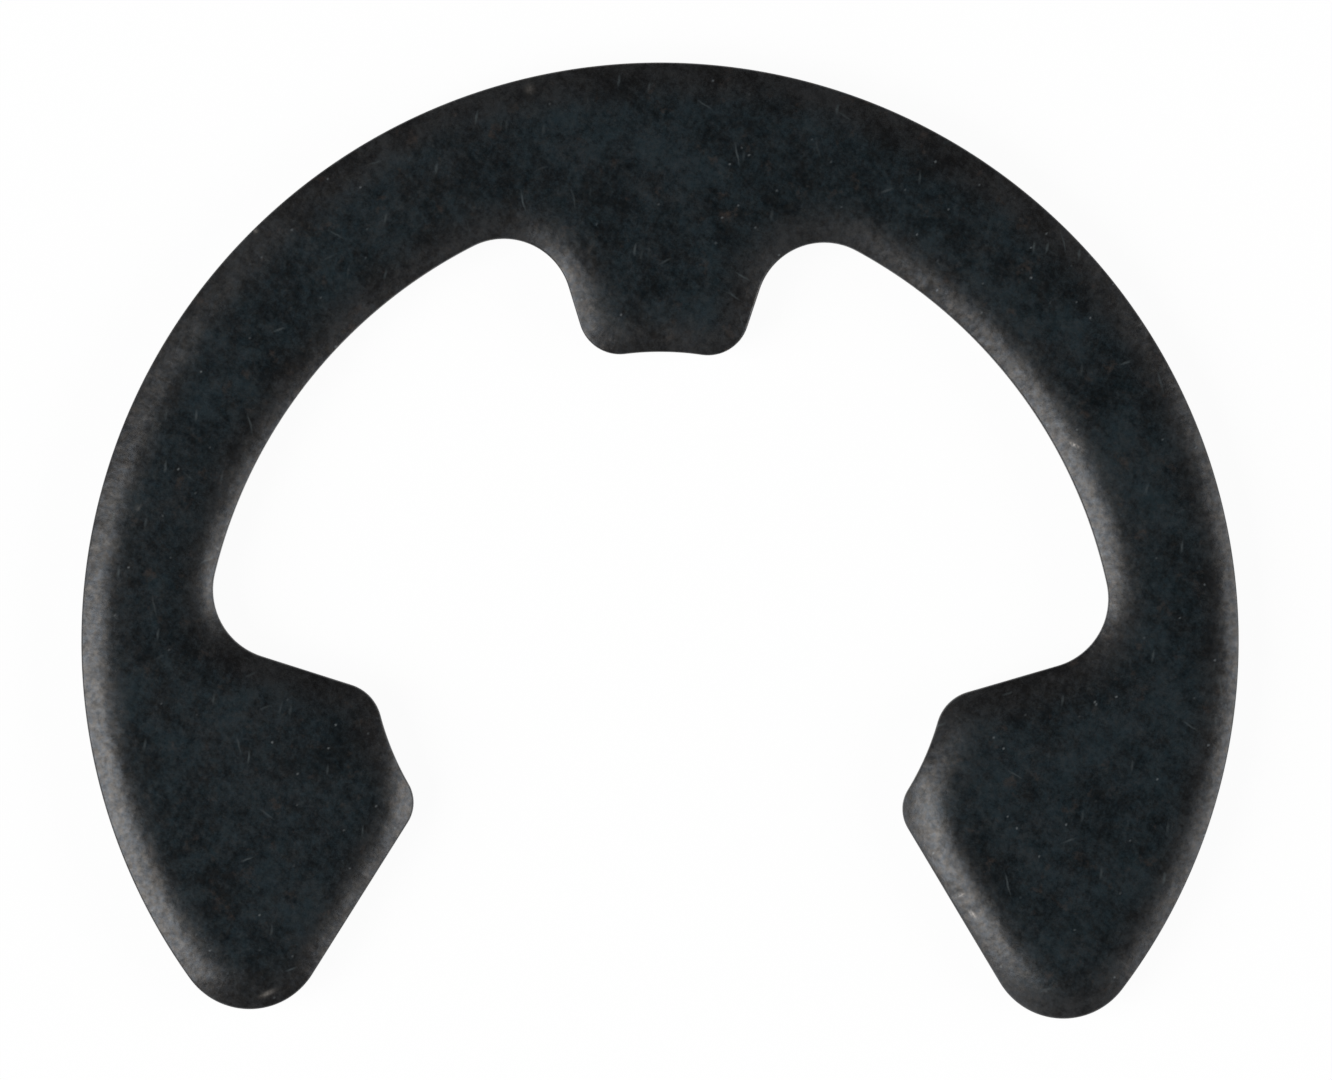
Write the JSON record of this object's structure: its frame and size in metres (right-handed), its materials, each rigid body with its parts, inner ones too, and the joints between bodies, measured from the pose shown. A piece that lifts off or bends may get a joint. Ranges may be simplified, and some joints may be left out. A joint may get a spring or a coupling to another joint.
{
  "type": "e-type retaining clip",
  "caption": "Flat spring steel E-clip that pushes sideways over a shaft and snaps into a turned groove, with a centre tooth, hooked lugs and a flared mouth.",
  "frame": {"origin": "on the shaft's axis, at the centre of the circle that the tooth and both lugs bear on, in the plane of the underside", "axes": "+Z along the shaft's axis, out of the rounded upper face; +Y from the axis towards the centre tooth, so the mouth opens towards -Y; +X across the clip, to the right when the upper face is seen with the mouth at the bottom"},
  "size_m": [0.0376, 0.0309, 0.0018],
  "materials": {
    "spring_steel": "satin"
  },
  "bodies": {
    "root": {"circlip": "spring_steel"}
  },
  "joints": []
}
